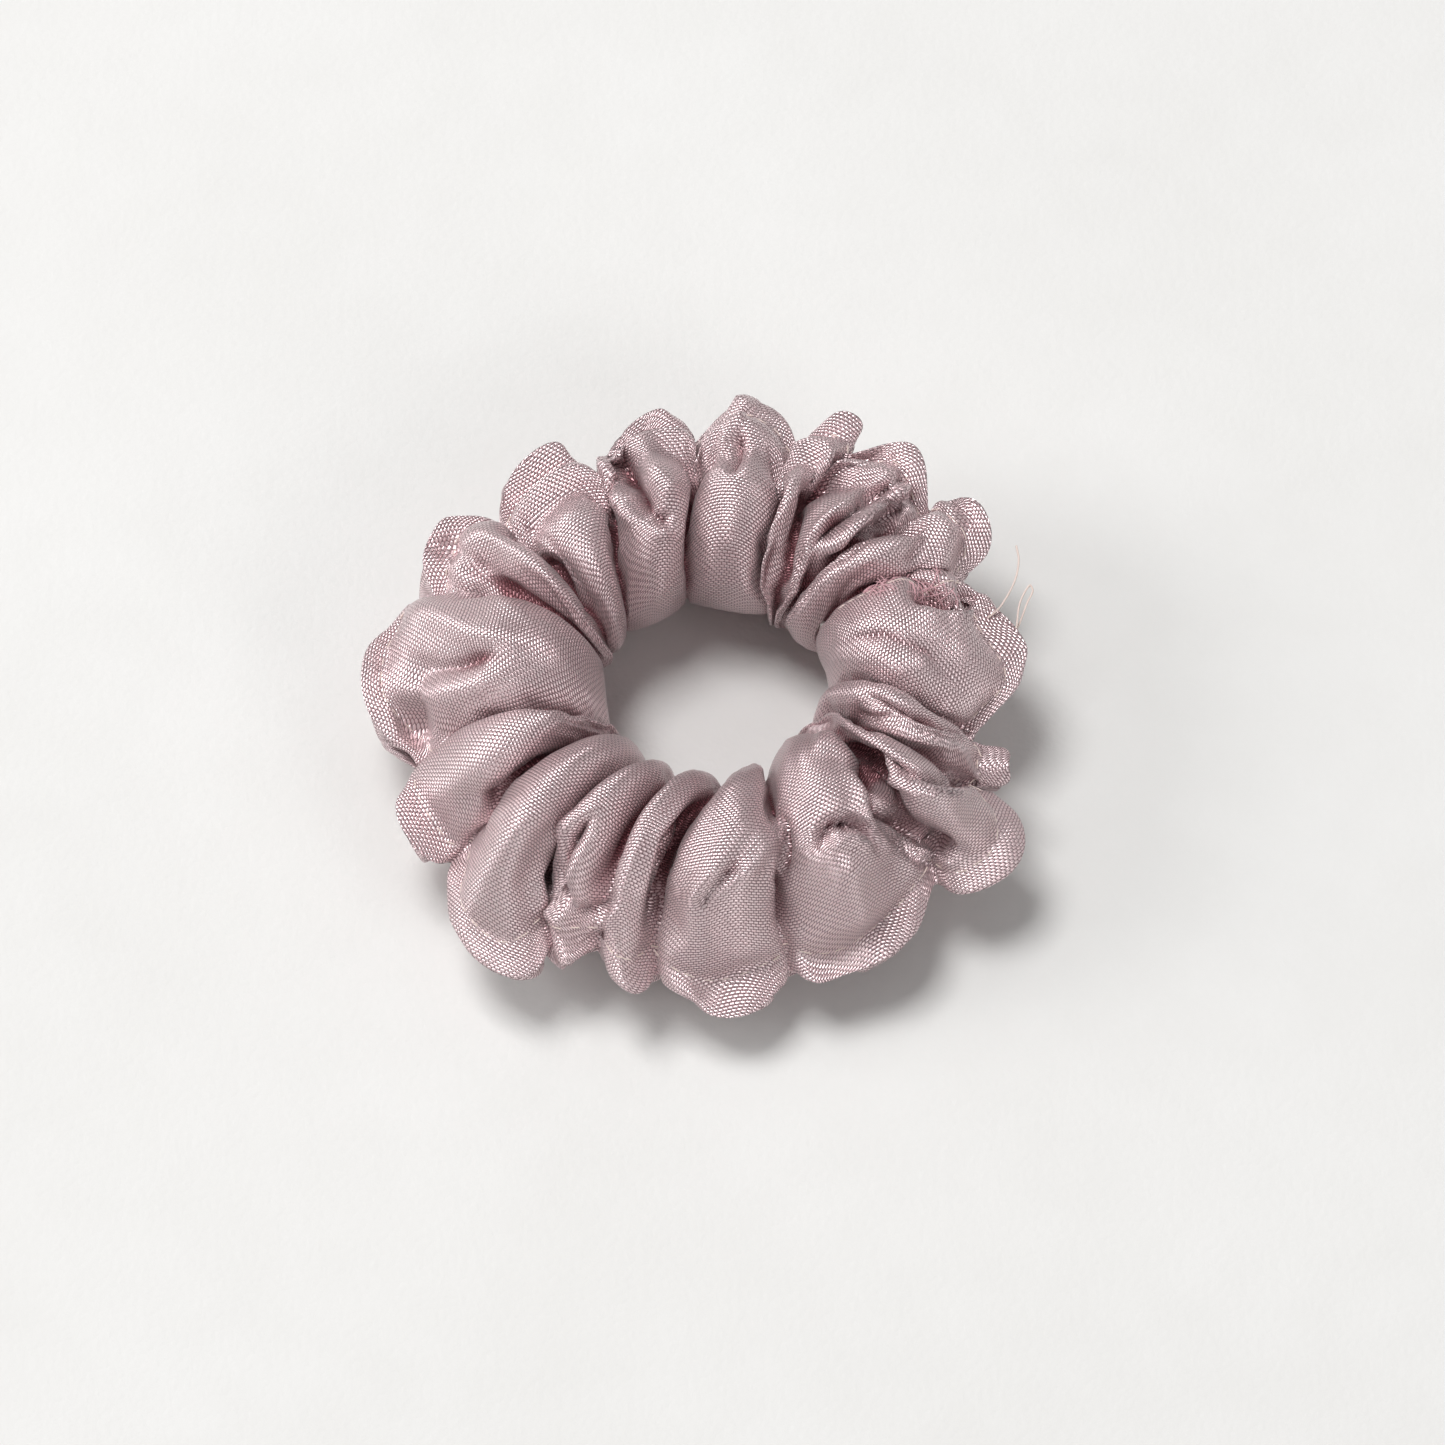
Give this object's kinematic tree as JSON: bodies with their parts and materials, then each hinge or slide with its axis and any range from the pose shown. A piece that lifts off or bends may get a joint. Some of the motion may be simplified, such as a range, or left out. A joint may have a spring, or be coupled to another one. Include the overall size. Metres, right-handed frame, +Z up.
{
  "type": "scrunchie",
  "caption": "Soft hair tie: a gathered satin tube with a sewn frill, drawn into a ring by an elastic band inside.",
  "frame": {"origin": "on the table, under the middle of the scrunchie's box", "axes": "+Z up through the hair hole, +Y away from the viewer in the picture, +X to the right"},
  "size_m": [0.0898, 0.0842, 0.0265],
  "materials": {
    "satin": "dusty pink satin, soft directional sheen",
    "elastic": "off-white braided elastic, matt",
    "thread": "pale cream sewing thread"
  },
  "bodies": {
    "near_half": {"cover_near": "satin", "elastic_band": "elastic", "elastic_join_thread": "thread", "needle_thread_near": "thread", "bobbin_thread_near": "thread"},
    "far_half": {"cover_far": "satin", "needle_thread_far": "thread", "bobbin_thread_far": "thread", "closing_thread": "thread", "thread_tail": "thread", "thread_loop": "thread"}
  },
  "joints": [
    {"name": "half_stretch", "type": "slide", "parent": "near_half", "child": "far_half", "axis": [0, 1, 0], "range_m": [0, 0.06], "stiffness_N_per_m": 100, "deforming": ["elastic_band"]}
  ]
}
